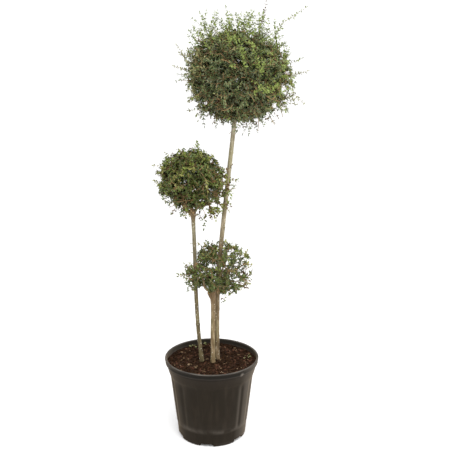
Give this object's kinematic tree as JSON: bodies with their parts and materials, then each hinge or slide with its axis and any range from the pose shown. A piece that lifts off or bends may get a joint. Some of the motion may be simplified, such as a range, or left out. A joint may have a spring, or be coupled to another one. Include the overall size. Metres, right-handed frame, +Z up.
{
  "type": "potted privet triple ball topiary",
  "caption": "Clipped privet shrub in a round nursery pot: bare stems of different heights rise from the soil, each carrying a ball of small leaves.",
  "frame": {"origin": "middle of the pot's flat underside", "axes": "+Z up, +X to the right and +Y away for someone facing the plant as pictured"},
  "size_m": [0.6747, 0.4982, 1.956],
  "materials": {
    "pot_plastic": "moulded polypropylene, dusty",
    "potting_soil": "damp composted bark",
    "bark": "smooth grey-tan bark with small pores",
    "foliage": "small leathery leaves"
  },
  "bodies": {
    "root": {"pot": "pot_plastic", "soil": "potting_soil", "tall_stem": "bark", "left_stem": "bark", "short_stem": "bark", "middle_bough_right": "bark", "middle_bough_left": "bark", "middle_bough_back": "bark", "lower_bough_right": "bark", "lower_bough_left": "bark", "lower_bough_back": "bark", "top_ball": "foliage", "middle_ball": "foliage", "lower_ball": "foliage"}
  },
  "joints": []
}
